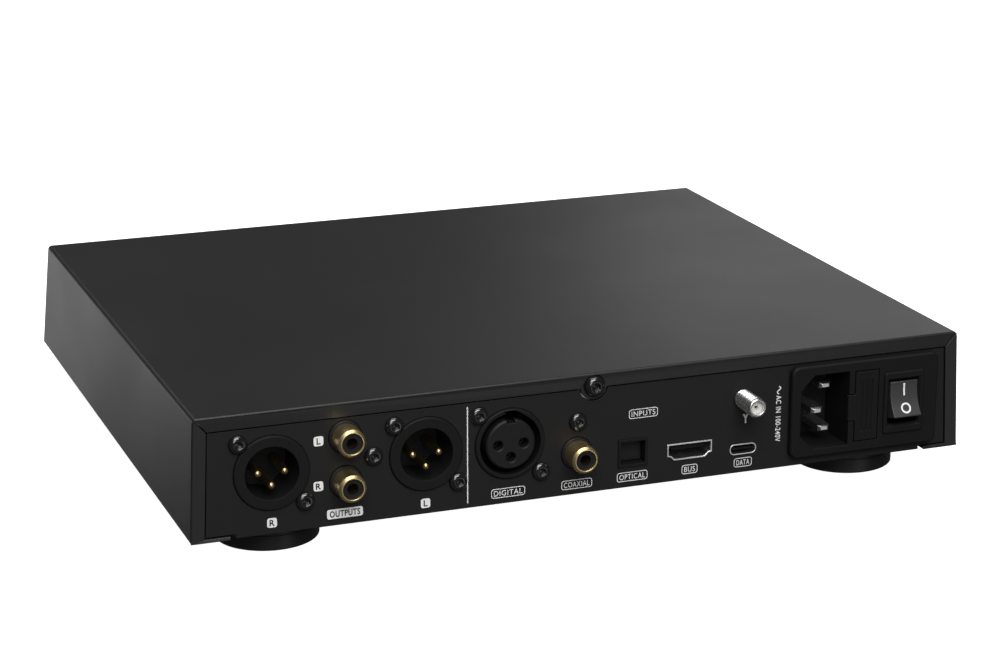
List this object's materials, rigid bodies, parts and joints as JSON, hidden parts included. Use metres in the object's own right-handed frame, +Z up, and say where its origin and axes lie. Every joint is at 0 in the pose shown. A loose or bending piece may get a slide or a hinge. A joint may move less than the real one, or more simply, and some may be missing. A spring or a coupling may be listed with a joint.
{
  "type": "desktop dac",
  "caption": "Low black metal desktop digital-to-analogue converter on round feet, with a rear panel of audio and digital sockets, a mains inlet and a rocker switch, and a front knob.",
  "frame": {"origin": "on the table, below the middle of the outline", "axes": "+Z up; +Y out of the socket panel at the rear; -Y out of the front; +X across, to the right as seen from the front"},
  "size_m": [0.25, 0.2328, 0.0466],
  "materials": {
    "case_finish": "satin black anodised",
    "panel_finish": "fine satin black with printed legends",
    "fascia_finish": "satin black",
    "window_plastic": "smoked, polished",
    "black_plastic": "fine moulded grain",
    "gloss_black": "smooth moulded",
    "rocker_plastic": "fine moulded grain",
    "gold_plate": "polished gold plate",
    "bright_metal": "nickel plated",
    "silver_metal": "turned, nickel plated",
    "dielectric": "pressed, unfilled",
    "black_steel": "black oxide, polished",
    "plain_steel": "zinc plated",
    "knob_metal": "black anodised, turned",
    "foot_metal": "black anodised, turned",
    "pad_rubber": "matte",
    "board_laminate": "solder mask",
    "chip_plastic": "moulded",
    "can_sleeve": "shrink sleeve",
    "winding_tape": "wrapped tape",
    "fuse_glass": "clear",
    "lead_sleeve": "smooth"
  },
  "bodies": {
    "case": {"antenna_contact": "gold_plate", "antenna_insulator": "dielectric", "antenna_nut": "silver_metal", "antenna_socket": "silver_metal", "base_screws": "black_steel", "board_chips": "chip_plastic", "board_screws": "plain_steel", "capacitors": "can_sleeve", "chassis": "panel_finish", "coax_input_base": "gloss_black", "coax_input_sleeve": "gold_plate", "connector_screws": "black_steel", "cover_nut_plate": "plain_steel", "cover_screw": "black_steel", "data_socket_shell": "bright_metal", "data_socket_tongue": "black_plastic", "display_module": "chip_plastic", "display_ribbon": "lead_sleeve", "display_window": "window_plastic", "encoder_body": "plain_steel", "encoder_nut": "plain_steel", "feet": "foot_metal", "foot_pads": "pad_rubber", "foot_screws": "black_steel", "front_board": "board_laminate", "front_panel": "fascia_finish", "front_screws": "plain_steel", "heatsink": "knob_metal", "inlet_pins": "bright_metal", "inner_leads": "lead_sleeve", "link_socket_shell": "bright_metal", "link_socket_tongue": "black_plastic", "main_board": "board_laminate", "mains_inlet": "black_plastic", "optical_receiver": "black_plastic", "output_relays": "chip_plastic", "phono_contacts": "gold_plate", "phono_insulators": "gloss_black", "phono_output_base": "gloss_black", "phono_output_sleeves": "gold_plate", "power_board": "board_laminate", "radio_module": "bright_metal", "rocker_frame": "black_plastic", "standoffs": "plain_steel", "top_shell": "case_finish", "transformer": "winding_tape", "transformer_clamp": "plain_steel", "xlr_input_contacts": "gold_plate", "xlr_input_housing": "black_plastic", "xlr_input_insert": "gloss_black", "xlr_output_housings": "black_plastic", "xlr_output_pins": "gold_plate"},
    "rocker": {"power_rocker": "rocker_plastic"},
    "drawer": {"fuse_drawer": "black_plastic", "fuse": "fuse_glass"},
    "shutter": {"optical_shutter": "gloss_black"},
    "plunger": {"encoder_plunger": "black_plastic"},
    "knob": {"encoder_shaft": "plain_steel", "knob": "knob_metal", "knob_set_screw": "black_steel"}
  },
  "joints": [
    {"name": "rocker_tip", "type": "hinge", "parent": "case", "child": "rocker", "pos_m": [-0.10365, 0.10645, 0.0265], "axis": [1, 0, 0], "range_deg": [-36, 0]},
    {"name": "drawer_slide", "type": "slide", "parent": "case", "child": "drawer", "axis": [0, 1, 0], "range_m": [0, 0.012]},
    {"name": "shutter_swing", "type": "hinge", "parent": "case", "child": "shutter", "pos_m": [-0.013, 0.10285, 0.02265], "axis": [1, 0, 0], "range_deg": [-86, 0], "stiffness_Nm_per_rad": 0.0001, "springref_deg": 17.19},
    {"name": "knob_push", "type": "slide", "parent": "case", "child": "plunger", "axis": [0, 0.9737, -0.228], "range_m": [0, 0.0006], "stiffness_N_per_m": 1500, "springref_m": -0.001},
    {"name": "knob_turn", "type": "hinge", "parent": "plunger", "child": "knob", "pos_m": [0.09, -0.10202, 0.0271], "axis": [0, -0.9737, 0.228], "continuous": true}
  ]
}
